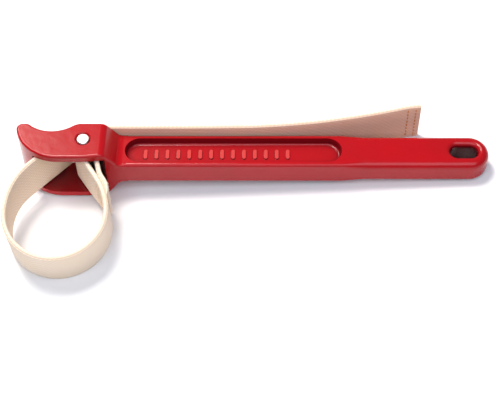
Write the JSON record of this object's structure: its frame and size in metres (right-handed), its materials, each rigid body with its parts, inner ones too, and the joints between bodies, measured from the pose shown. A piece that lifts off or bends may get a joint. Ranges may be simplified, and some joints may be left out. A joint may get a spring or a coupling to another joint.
{
  "type": "strap oil filter wrench",
  "caption": "Cast handle with a clevis head; a woven strap is sewn round the head's pin, loops round the filter, threads back through the head and trails along the handle.",
  "frame": {"origin": "centre of the strap's filter loop, at the middle of the strap's width", "axes": "+X along the handle towards its hanging slot, +Y towards the back edge where the strap's tail lies, +Z along the head's pin and the filter's axis"},
  "size_m": [0.3053, 0.1133, 0.0414],
  "materials": {
    "enamel": "gloss red enamel on a casting",
    "pin_steel": "bright turned steel",
    "webbing": "woven nylon webbing, off-white",
    "thread": "sewing thread, off-white"
  },
  "bodies": {
    "handle": {"handle_casting": "enamel", "strap_pin": "pin_steel"},
    "loop": {"strap_eye": "webbing", "seam_stitching": "thread", "strap_loop": "webbing", "strap_leg": "webbing"},
    "exit": {"strap_exit": "webbing"},
    "tail": {"strap_tail": "webbing", "tip_stitching": "thread"}
  },
  "joints": [
    {"name": "loop_swing", "type": "hinge", "parent": "handle", "child": "loop", "pos_m": [0.0145, 0.047, 0], "axis": [0, 0, 1], "range_deg": [0, 8]},
    {"name": "tail_bend", "type": "hinge", "parent": "handle", "child": "exit", "pos_m": [0.0155, 0.0633, 0], "axis": [0, 0, 1], "range_deg": [0, 90]},
    {"name": "strap_feed", "type": "slide", "parent": "exit", "child": "tail", "axis": [1, 0, 0], "range_m": [0, 0.024]}
  ]
}
